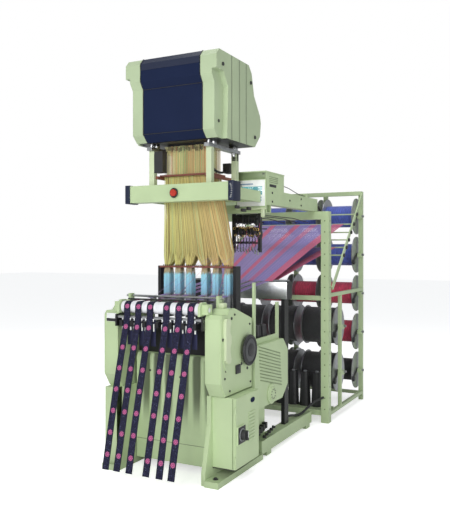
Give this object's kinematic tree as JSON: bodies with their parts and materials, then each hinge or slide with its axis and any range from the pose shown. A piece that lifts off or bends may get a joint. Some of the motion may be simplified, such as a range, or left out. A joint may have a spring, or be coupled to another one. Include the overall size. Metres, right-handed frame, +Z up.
{
  "type": "power loom",
  "caption": "Free-standing narrow-fabric power loom: gear housings, take-up roller with woven tapes, heddle harness, overhead pattern head, control cabinet and warp creel.",
  "frame": {"origin": "centre of the four floor anchor holes, at floor level", "axes": "+Z up, along the anchor holes; +Y from the operator's side to the creel, the longest extent; +X to the operator's right"},
  "size_m": [1.146, 3.2965, 2.822],
  "materials": {
    "green_paint": "semi-gloss",
    "steel": "brushed",
    "black_plastic": "matte",
    "roller_aluminium": "satin",
    "white_plastic": "matte",
    "tape_fabric": "woven",
    "cast_black": "moulded, satin",
    "dark_paint": "satin",
    "belt_rubber": "matte",
    "red_plastic": "gloss",
    "navy_paint": "satin",
    "black_paint": "satin",
    "harness_yarn": "strung cords",
    "board_wood": "oiled",
    "heddle_blue": "strung cords",
    "black_yarn": "wound yarn",
    "red_yarn": "wound yarn",
    "blue_yarn": "wound yarn",
    "warp_yarn": "sheer yarn layer",
    "cable_rubber": "matte"
  },
  "bodies": {
    "loom": {"foot_rails": "green_paint", "side_beams": "green_paint", "side_frames": "green_paint", "bed_crossbars": "green_paint", "front_panel": "green_paint", "gear_housings": "green_paint", "housing_covers": "green_paint", "cover_screws": "black_plastic", "bearing_blocks": "green_paint", "tape_guides": "white_plastic", "woven_tapes": "tape_fabric", "drive_motor": "dark_paint", "drive_belt": "belt_rubber", "belt_guard": "green_paint", "control_cabinet": "green_paint", "gantry_arms": "green_paint", "front_beam": "green_paint", "head_columns": "green_paint", "head_rails": "steel", "head_hood": "navy_paint", "head_side_covers": "green_paint", "head_chassis": "black_paint", "terminal_blocks": "black_plastic", "harness_cords": "harness_yarn", "harness_boards": "board_wood", "spring_frame": "steel", "warp_stop_motion": "steel", "weft_feeders": "black_paint", "bobbin_fork": "green_paint", "display_unit": "green_paint", "creel_frame": "green_paint", "creel_braces": "green_paint", "yarn_packages": "black_yarn", "warp_sheets": "warp_yarn", "display_cable": "cable_rubber", "head_cable": "cable_rubber", "post_hose": "cable_rubber", "floor_hose": "cable_rubber"},
    "main_shaft_body": {"main_shaft": "steel", "handwheel": "cast_black"},
    "motor_shaft_body": {"motor_pulley": "steel"},
    "take_up_roller_body": {"take_up_roller": "roller_aluminium"},
    "guide_roller_body": {"guide_roller": "steel"},
    "sley_body": {"sley": "steel"},
    "needle_body": {"weft_needles": "steel"},
    "odd_heddles_body": {"odd_heddles": "heddle_blue"},
    "even_heddles_body": {"even_heddles": "heddle_blue"},
    "lower_knife_body": {"lower_knife_frame": "steel"},
    "upper_knife_body": {"upper_knife_frame": "steel"},
    "door_body": {"cabinet_door": "green_paint"},
    "switch_body": {"rotary_switch": "black_plastic"},
    "jog_button_body": {"jog_button": "black_plastic"},
    "stop_button_body": {"stop_button": "red_plastic"},
    "rear_beam_1_body": {"warp_beam_rear_1": "black_yarn"},
    "rear_beam_2_body": {"warp_beam_rear_2": "red_yarn"},
    "rear_beam_3_body": {"warp_beam_rear_3": "red_yarn"},
    "rear_beam_4_body": {"warp_beam_rear_4": "blue_yarn"},
    "rear_beam_5_body": {"warp_beam_rear_5": "blue_yarn"},
    "front_beam_1_body": {"warp_beam_front_1": "black_yarn"},
    "front_beam_2_body": {"warp_beam_front_2": "black_yarn"}
  },
  "joints": [
    {"name": "main_shaft_turn", "type": "hinge", "parent": "loom", "child": "main_shaft_body", "pos_m": [0, 0.05, 0.825], "axis": [1, 0, 0], "continuous": true},
    {"name": "motor_turn", "type": "hinge", "parent": "loom", "child": "motor_shaft_body", "pos_m": [0.35, 0.44, 0.455], "axis": [1, 0, 0], "continuous": true},
    {"name": "take_up_turn", "type": "hinge", "parent": "loom", "child": "take_up_roller_body", "pos_m": [0, -0.3, 1.115], "axis": [1, 0, 0], "continuous": true},
    {"name": "guide_roller_turn", "type": "hinge", "parent": "loom", "child": "guide_roller_body", "pos_m": [0, -0.328, 1.048], "axis": [1, 0, 0], "continuous": true},
    {"name": "sley_swing", "type": "hinge", "parent": "loom", "child": "sley_body", "pos_m": [0, -0.02, 0.7], "axis": [1, 0, 0], "range_deg": [0, 6]},
    {"name": "needle_slide", "type": "slide", "parent": "loom", "child": "needle_body", "axis": [1, 0, 0], "range_m": [-0.045, 0]},
    {"name": "odd_heddle_lift", "type": "slide", "parent": "loom", "child": "odd_heddles_body", "axis": [0, 0, 1], "range_m": [-0.028, 0.028]},
    {"name": "even_heddle_lift", "type": "slide", "parent": "loom", "child": "even_heddles_body", "axis": [0, 0, 1], "range_m": [-0.028, 0.028]},
    {"name": "lower_knife_lift", "type": "slide", "parent": "loom", "child": "lower_knife_body", "axis": [0, 0, 1], "range_m": [-0.028, 0.028]},
    {"name": "upper_knife_lift", "type": "slide", "parent": "loom", "child": "upper_knife_body", "axis": [0, 0, 1], "range_m": [-0.028, 0.028]},
    {"name": "rear_beam_1_turn", "type": "hinge", "parent": "loom", "child": "rear_beam_1_body", "pos_m": [0, 2.535, 0.3], "axis": [1, 0, 0], "continuous": true},
    {"name": "rear_beam_2_turn", "type": "hinge", "parent": "loom", "child": "rear_beam_2_body", "pos_m": [0, 2.535, 0.684], "axis": [1, 0, 0], "continuous": true},
    {"name": "rear_beam_3_turn", "type": "hinge", "parent": "loom", "child": "rear_beam_3_body", "pos_m": [0, 2.535, 1.068], "axis": [1, 0, 0], "continuous": true},
    {"name": "rear_beam_4_turn", "type": "hinge", "parent": "loom", "child": "rear_beam_4_body", "pos_m": [0, 2.535, 1.452], "axis": [1, 0, 0], "continuous": true},
    {"name": "rear_beam_5_turn", "type": "hinge", "parent": "loom", "child": "rear_beam_5_body", "pos_m": [0, 2.535, 1.836], "axis": [1, 0, 0], "continuous": true},
    {"name": "front_beam_1_turn", "type": "hinge", "parent": "loom", "child": "front_beam_1_body", "pos_m": [0, 1.94, 0.38], "axis": [1, 0, 0], "continuous": true},
    {"name": "front_beam_2_turn", "type": "hinge", "parent": "loom", "child": "front_beam_2_body", "pos_m": [0, 1.94, 0.8], "axis": [1, 0, 0], "continuous": true},
    {"name": "door_swing", "type": "hinge", "parent": "loom", "child": "door_body", "pos_m": [0.519, -0.245, 0.33], "axis": [0, 0, 1], "range_deg": [-110, 0]},
    {"name": "switch_turn", "type": "hinge", "parent": "door_body", "child": "switch_body", "pos_m": [0.53, -0.172, 0.312], "axis": [1, 0, 0], "range_deg": [0, 90]},
    {"name": "jog_button_press", "type": "slide", "parent": "loom", "child": "jog_button_body", "axis": [-1, 0, 0], "range_m": [0, 0.004], "stiffness_N_per_m": 300},
    {"name": "stop_button_press", "type": "slide", "parent": "loom", "child": "stop_button_body", "axis": [0, 1, 0], "range_m": [0, 0.006], "stiffness_N_per_m": 600}
  ],
  "couplings": [
    {"joint": "motor_turn", "follows": "main_shaft_turn", "ratio": 1.2857},
    {"joint": "take_up_turn", "follows": "main_shaft_turn", "ratio": 0.05},
    {"joint": "guide_roller_turn", "follows": "main_shaft_turn", "ratio": 0.16667},
    {"joint": "even_heddle_lift", "follows": "odd_heddle_lift", "ratio": -1},
    {"joint": "lower_knife_lift", "follows": "odd_heddle_lift", "ratio": 1},
    {"joint": "upper_knife_lift", "follows": "odd_heddle_lift", "ratio": -1}
  ]
}
